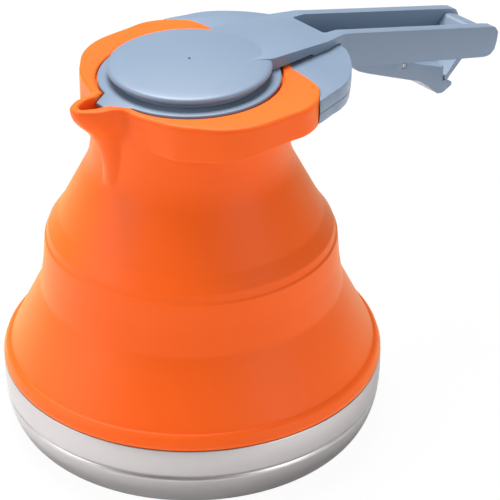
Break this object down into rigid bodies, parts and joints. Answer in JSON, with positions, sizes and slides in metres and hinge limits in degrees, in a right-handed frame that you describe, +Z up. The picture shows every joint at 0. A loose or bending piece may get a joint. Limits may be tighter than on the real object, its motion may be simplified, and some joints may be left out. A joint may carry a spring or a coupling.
{
  "type": "collapsible kettle",
  "caption": "Folding silicone camping kettle on a steel base pan, with a clip-on lid whose long loop handle nests over a fixed lower arm.",
  "frame": {"origin": "centre of the underside of the base pan, on the surface that the kettle stands on", "axes": "+X from the axis towards the handle, -X towards the spout, +Z up along the axis of the body, +Y to the left of the handle seen from the spout's side facing +X"},
  "size_m": [0.237, 0.157, 0.1599],
  "materials": {
    "steel": "satin, drawn sheet",
    "silicone": "matt orange food silicone",
    "plastic": "satin slate blue plastic",
    "seal": "matt pale silicone",
    "fastener": "plain stainless"
  },
  "bodies": {
    "base": {"base_pan": "steel", "pan_retaining_ring": "steel", "body_rim_band": "silicone", "body_lower_fold": "silicone"},
    "middle": {"body_middle_band": "silicone", "body_upper_fold": "silicone"},
    "top": {"body_neck": "silicone", "collar_cover": "plastic", "collar_lower_ring": "plastic", "collar_screw_1": "fastener", "collar_screw_2": "fastener", "collar_screw_3": "fastener", "collar_screw_4": "fastener", "handle_arm": "plastic", "arm_cross_pin": "fastener"},
    "lid": {"lid_with_handle": "plastic", "lid_plate": "plastic", "lid_gasket": "seal", "lid_screw_1": "fastener", "lid_screw_2": "fastener", "lid_screw_3": "fastener"}
  },
  "joints": [
    {"name": "collapse_lower", "type": "slide", "parent": "base", "child": "middle", "axis": [0, 0, -1], "range_m": [0, 0.05], "deforming": ["body_lower_fold"]},
    {"name": "collapse_upper", "type": "slide", "parent": "middle", "child": "top", "axis": [0, 0, -1], "range_m": [0, 0.046], "deforming": ["body_upper_fold"]},
    {"name": "lid_hinge", "type": "hinge", "parent": "top", "child": "lid", "pos_m": [0.1331, 0, 0.1136], "axis": [0, 1, 0], "range_deg": [0, 55]}
  ]
}
